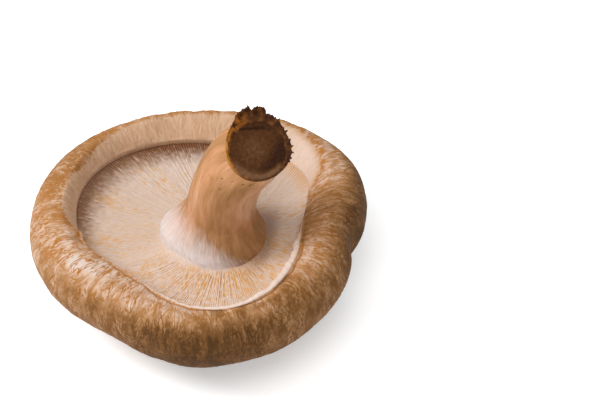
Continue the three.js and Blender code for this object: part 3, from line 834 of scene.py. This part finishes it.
def stem_frame(t):
    """Centres, radii, normals and the two directions across the stem at t from foot to cut."""
    stations = along(STEM, t)
    centre, radius = stations[:, :3], stations[:, 3]
    lean = np.asarray(t)[:, None] ** 2
    normal = np.array([0, 0, 1]) * (1 - lean) + CUT_NORMAL * lean
    normal /= np.linalg.norm(normal, axis=1)[:, None]
    across = np.array([1, 0, 0]) - normal * normal[:, :1]
    across /= np.linalg.norm(across, axis=1)[:, None]
    return centre, radius, normal, across, np.cross(normal, across)


def stem_rings(t, azimuth, radius, rise):
    """Points of rings round the stem, with a radius and a rise along the stem for each point."""
    centre, _, normal, across, back = (part[:, None] for part in stem_frame(t))
    a = azimuth[None, :, None]
    return (centre + radius[..., None] * (across * np.cos(a) + back * np.sin(a))
            + rise[..., None] * normal)


# Small pits under the cut: place along the stem, azimuth in degrees, size in mm.
PITS = [(0.945, 256, 0.16), (0.95, 268, 0.2), (0.93, 240, 0.12), (0.90, 225, 0.12), (0.80, 236, 0.12)]


def stem_body(look):
    """The stem: flared downy foot, lengthwise fibres, a few pits, and a rounded edge at the cut."""
    azimuth = columns(look.columns)
    t = np.concatenate([np.zeros(4), np.linspace(0, 1, 190), np.ones(5)])
    drop = np.concatenate([np.linspace(-2.4, -0.3, 4), np.zeros(190), [0.14, 0.16, 0.05, -0.25, -0.6]])
    inset = np.concatenate([np.full(4, 0.3), np.zeros(190), [0.12, 0.35, 0.55, 0.75, 1.2]])
    stations = along(STEM, t)
    radius = (stations[:, 3] - inset)[:, None]
    fade = (1 - smooth_step(stations[:, 2], *FOOT_FADE))[:, None]
    for at, spread, out in FOOT_SHAPE:
        radius = radius + out * fade * bell(np.degrees(azimuth), at, spread)[None, :]
    steps = np.linalg.norm(np.diff(stations[:, :3], axis=0), axis=-1)
    run = np.concatenate([[0], np.cumsum(steps)])
    flow = polar(8.0, azimuth[None, :] + 0.03 * run[:, None], run[:, None])
    height = (stations[:, 2] - GILL_HEIGHT)[:, None]

    bend = flow + 0.3 * wobble(flow / 5, 61)
    fibre = layered_noise(bend / [0.5, 0.5, 5.0], 67)
    lumps = noise(flow / [5, 5, 7], 71)
    left = facing(azimuth, 212)[None, :]
    reach = 2.5 + 7.5 * np.maximum(left, 0)
    limit = smooth_step(left, -0.35, 0.6)
    patch = layered_noise(flow / 2.5, 75)
    down = 0.97 * (1 - smooth_step(height + 0.5 * patch, 0.0, 1.15 * reach)) * limit
    tufts = layered_noise(flow / [0.8, 0.8, 1.3], 73)
    on_side = (np.arange(len(t)) >= 4) & (np.arange(len(t)) < 196)
    relief = look.fibres * fibre * (1 - 0.5 * down) + 0.2 * lumps + 0.1 * tufts * down
    relief = relief * on_side[:, None]

    pit = 0 * flow[..., 0]
    for place, at, size in PITS:
        offset = (np.degrees(azimuth) - at + 180) % 360 - 180
        away = np.hypot(np.radians(offset)[None, :] * 7.2, (run - place * run[-1])[:, None] * 0.7)
        pit = np.maximum(pit, bell(away, 0, size))
    relief = relief - 0.4 * pit
    points = stem_rings(t, azimuth, radius + relief, drop[:, None] + 0 * relief)

    end = smooth_step(t, 0.99, 1.0)[:, None]
    rusty = smooth_step(facing(azimuth, 170)[None, :], 0.2, 0.9)
    pit = np.maximum(pit, end**2 * (1 - rusty))
    end = end * rusty
    # Painted light and shade: paler on the right above the foot and on the left near the cut, darker down the
    # front and on the right of the foot.
    painted_light_and_shade = (0.5 + 0.5 * facing(azimuth, 345))[None, :] * smooth_step(height, 4, 12)
    painted_light_and_shade = painted_light_and_shade + 0.4 * bell(azimuth, math.radians(205), 0.4) * smooth_step(26 - height, 0, 8)
    painted_light_and_shade = painted_light_and_shade - 0.5 * bell(azimuth, math.radians(262), 0.5)
    low = 1 - smooth_step(height, 2, 8)
    painted_light_and_shade = painted_light_and_shade - 0.65 * low * bell(azimuth, math.radians(310), 0.8)
    return Body(points, points[0].mean(axis=0), points[-1].mean(axis=0), flow=flow, down=down,
                end=end + 0 * relief, pit=pit, painted_light_and_shade=painted_light_and_shade + 0 * relief)


def cut_face_body():
    """The cut: a corky plug that fills the stem's end, with a torn flake and a darker edge."""
    azimuth = columns(300)
    size = STEM[-1][3] - 0.12
    share = np.concatenate([[0.4, 0.75, 1.0], np.linspace(1, 0.02, 64)])
    rise = np.concatenate([[-0.9, -0.8, 0.0], 0.16 + np.zeros(64)])
    radius = size * share
    flow = polar(radius[:, None], azimuth[None, :], 0.0)
    x, y = flow[..., 0] / size, flow[..., 1] / size
    top = (np.arange(len(share)) >= 3)[:, None]
    coarse = layered_noise(flow / 2.2, 81)
    fine = layered_noise(flow / 0.8, 85)
    arc = y + 0.25 * x**2 + 0.06 * coarse - 0.72
    flake = smooth_step(arc, -0.03, 0.03)
    bowl = -0.4 * (1 - share[:, None] ** 2)
    relief = top * (bowl + 0.12 * flake * (1 - share[:, None] ** 6) + 0.12 * coarse + 0.07 * fine)
    points = stem_rings(np.ones(len(share)), azimuth, radius[:, None] + 0 * relief,
                        rise[:, None] + relief)
    middle = np.exp(-((x + 0.12) ** 2 + (y - 0.05) ** 2) / 0.26)
    crescent = bell(np.hypot(x, y), 0.86, 0.13) * smooth_step(-y, 0.2, 0.65)
    crack = bell(arc, 0, 0.04) * smooth_step(-x, -0.4, 0.0)
    shade = smooth_step(x - 0.6 * y, 0.2, 0.8) * (1 - crescent)
    pale = 0.3 * middle + 0.6 * crescent - 0.16 * flake - 0.4 * shade - 0.4 * crack + 0.15 * fine
    pale = np.clip(0.33 + pale, 0, 1) * top
    rust = 0.6 * smooth_step(share, 0.86, 1.0)[:, None] * smooth_step(-x, 0.0, 0.7) * (0.5 + fine)
    rust = np.clip(rust, 0, 1)
    return Body(points, points[0].mean(axis=0), points[-1].mean(axis=0), flow=flow, pale=pale, rust=rust)


# Torn skin round the cut: azimuth in degrees and how far it stands out past the edge, in mm.
TORN_EDGE = [(-40, 0), (-27, 0.1), (-4, 0.35), (8, 0.35), (32, 0.2), (48, 0.6), (60, 1.0), (68, 1.3),
             (78, 1.2), (79.5, 1.9), (83, 2.4), (92, 2.4), (97, 2.1), (101, 1.6), (102.5, 2.6),
             (112, 2.3), (121, 1.9), (132, 1.0), (145, 0.5), (165, 0.2)]


def torn_body():
    """Ragged skin standing out round the back of the cut, as a thin curling sheet with teeth."""
    degrees = np.linspace(TORN_EDGE[0][0], TORN_EDGE[-1][0], 620)
    azimuth = np.radians(degrees)
    reach = np.interp(degrees, *zip(*TORN_EDGE))
    line = np.stack([degrees / 3.2, 0 * degrees, 0 * degrees], -1)
    teeth = np.abs(noise(line, 91)) + 0.5 * np.abs(noise(line * 2.3, 92))
    fringe = smooth_step(degrees, -32, -12) * (1 - smooth_step(degrees, 55, 75))
    fringe = fringe * smooth_step(noise(line * 0.6, 93), -0.1, 0.6) * (0.6 + 0.6 * noise(line / 3, 94))
    reach = reach * (0.95 + 0.14 * teeth) + 0.6 * teeth * np.minimum(reach, 0.4) + 0.8 * fringe
    steps = 14
    out = np.concatenate([np.linspace(0, 1, steps), np.linspace(1, 0, steps)])
    side = np.concatenate([np.ones(steps), -np.ones(steps)])
    thick = 0.24 * (1 - 0.75 * out**2)
    t = np.ones(len(degrees))
    stem_radius = STEM[-1][3]
    start = stem_radius - 1.1
    radius = start + out * (reach[:, None] + stem_radius - start) - 0.1 * side * thick
    crumbs = layered_noise(polar(radius, azimuth[:, None], 0) / 1.1, 95)
    crinkle = 0.2 * noise(polar(radius, azimuth[:, None], 0) / 1.6, 97)
    rise = (0.45 * reach[:, None] ** 0.8 + 0.6) * out**1.2 - 0.3 + side * thick + crinkle * (0.5 + out)
    centre, _, normal, across, back = (part[:, None] for part in stem_frame(t))
    a = azimuth[:, None, None]
    points = (centre + radius[..., None] * (across * np.cos(a) + back * np.sin(a))
              + rise[..., None] * normal)
    left = smooth_step(degrees + 8 * teeth, 100, 150)[:, None]
    rust = left * smooth_step(radius, 5.6, 6.6) * (0.6 - 0.4 * smooth_step(out, 0.6, 1.0)) * (0.8 + crumbs)
    rust = np.clip(rust + 0.15 * crumbs, 0, 1)
    pale = 0.45 - 0.3 * smooth_step(out, 0.3, 0.9) + 0.4 * crumbs
    return Body(points, points[0].mean(axis=0), points[-1].mean(axis=0), flow=points * 1.0,
                pale=pale, rust=rust)


# ---------------------------------------------------------------- stage

def make_stage(look):
    """A white floor, a soft key light from the left, even light all round, and the camera."""
    scene = bpy.context.scene
    bpy.ops.mesh.primitive_plane_add(size=4)
    floor = bpy.context.object
    floor.name = "floor"
    floor.data.materials.append(floor_material(look))

    for name, power, size, side, height in [
            ("key_light", look.key_power, look.key_size, look.key_side, look.key_height),
            ("top_light", look.top_power, look.top_size, math.radians(270), math.radians(70))]:
        light = bpy.data.lights.new(name, "AREA")
        light.energy = power
        light.shape = "DISK"
        light.size = size
        lamp = bpy.data.objects.new(name, light)
        scene.collection.objects.link(lamp)
        towards = Vector((math.cos(side) * math.cos(height), math.sin(side) * math.cos(height),
                          math.sin(height)))
        lamp.location = towards * 0.55 + Vector((0, 0, 0.02))
        lamp.rotation_euler = towards.to_track_quat("Z", "Y").to_euler()

    world = bpy.data.worlds.new("even_light")
    scene.world = world
    world.use_nodes = True
    tree = world.node_tree
    tree.nodes.clear()
    path = tree.nodes.new("ShaderNodeLightPath")
    seen = add_node(tree, "ShaderNodeMath", {0: path.outputs["Is Camera Ray"],
                                             1: path.outputs["Is Glossy Ray"]}, operation="MAXIMUM")
    seen = add_node(tree, "ShaderNodeMath", {0: seen, 1: path.outputs["Is Transmission Ray"]},
                    operation="MAXIMUM")
    strength = add_node(tree, "ShaderNodeMapRange", {"Value": seen, "To Min": look.sky, "To Max": 1.0})
    sky = add_node(tree, "ShaderNodeBackground", {"Color": (1, 1, 1, 1), "Strength": strength})
    output = tree.nodes.new("ShaderNodeOutputWorld")
    tree.links.new(sky, output.inputs["Surface"])

    camera = bpy.data.objects.new("camera", bpy.data.cameras.new("camera"))
    scene.collection.objects.link(camera)
    camera.data.lens = look.lens
    camera.data.clip_start = 0.01
    back = Vector((0, -math.cos(look.view_height), math.sin(look.view_height)))
    camera.location = Vector(look.aim) + back * look.view_distance
    camera.rotation_euler = (math.pi / 2 - look.view_height, 0, 0)
    scene.camera = camera
    scene.view_settings.view_transform = "Standard"


# ---------------------------------------------------------------- operators and panel

class MUSHROOM_OT_cap(bpy.types.Operator):
    """Make the cap with its skin, inrolled rim and lip"""

    bl_idname = "mushroom.cap"
    bl_label = "Cap"

    def execute(self, context):
        look = context.scene.mushroom_cap
        make_piece("mushroom_cap", [cap_body(look)], cap_material(look))
        return {"FINISHED"}


class MUSHROOM_OT_gills(bpy.types.Operator):
    """Make the gill field"""

    bl_idname = "mushroom.gills"
    bl_label = "Gills"

    def execute(self, context):
        look = context.scene.mushroom_gills
        make_piece("mushroom_gills", [gill_body(look)], gill_material(look))
        return {"FINISHED"}


class MUSHROOM_OT_stem(bpy.types.Operator):
    """Make the stem with its downy foot"""

    bl_idname = "mushroom.stem"
    bl_label = "Stem"

    def execute(self, context):
        look = context.scene.mushroom_stem
        make_piece("mushroom_stem", [stem_body(look)], stem_material(look))
        return {"FINISHED"}


class MUSHROOM_OT_cut(bpy.types.Operator):
    """Make the dried cut end and the torn skin round it"""

    bl_idname = "mushroom.cut"
    bl_label = "Cut end"

    def execute(self, context):
        material = cut_material(context.scene.mushroom_cut)
        make_piece("mushroom_cut_face", [cut_face_body()], material)
        make_piece("mushroom_torn_skin", [torn_body()], material)
        return {"FINISHED"}


class MUSHROOM_OT_stage(bpy.types.Operator):
    """Make the floor, the lights and the camera"""

    bl_idname = "mushroom.stage"
    bl_label = "Stage"

    def execute(self, context):
        make_stage(context.scene.mushroom_stage)
        return {"FINISHED"}


OPERATORS = [MUSHROOM_OT_cap, MUSHROOM_OT_gills, MUSHROOM_OT_stem, MUSHROOM_OT_cut, MUSHROOM_OT_stage]
SETTINGS = {
    "mushroom_cap": CapSettings,
    "mushroom_gills": GillSettings,
    "mushroom_stem": StemSettings,
    "mushroom_cut": CutSettings,
    "mushroom_stage": StageSettings,
}


class MUSHROOM_PT_panel(bpy.types.Panel):
    """Lists the mushroom's pieces and their settings"""

    bl_label = "Mushroom"
    bl_space_type = "VIEW_3D"
    bl_region_type = "UI"
    bl_category = "Mushroom"

    def draw(self, context):
        for operator, name in zip(OPERATORS, SETTINGS):
            box = self.layout.box()
            box.operator(operator.bl_idname)
            settings = getattr(context.scene, name)
            for key in SETTINGS[name].__annotations__:
                box.prop(settings, key)


def register():
    for group in SETTINGS.values():
        bpy.utils.register_class(group)
    for name, group in SETTINGS.items():
        setattr(bpy.types.Scene, name, PointerProperty(type=group))
    for made in [*OPERATORS, MUSHROOM_PT_panel]:
        bpy.utils.register_class(made)


def unregister():
    for made in [MUSHROOM_PT_panel, *reversed(OPERATORS)]:
        bpy.utils.unregister_class(made)
    for name in SETTINGS:
        delattr(bpy.types.Scene, name)
    for group in reversed(list(SETTINGS.values())):
        bpy.utils.unregister_class(group)


def main():
    register()
    bpy.ops.mushroom.cap()
    bpy.ops.mushroom.gills()
    bpy.ops.mushroom.stem()
    bpy.ops.mushroom.cut()
    bpy.ops.mushroom.stage()


if __name__ == "__main__":
    main()
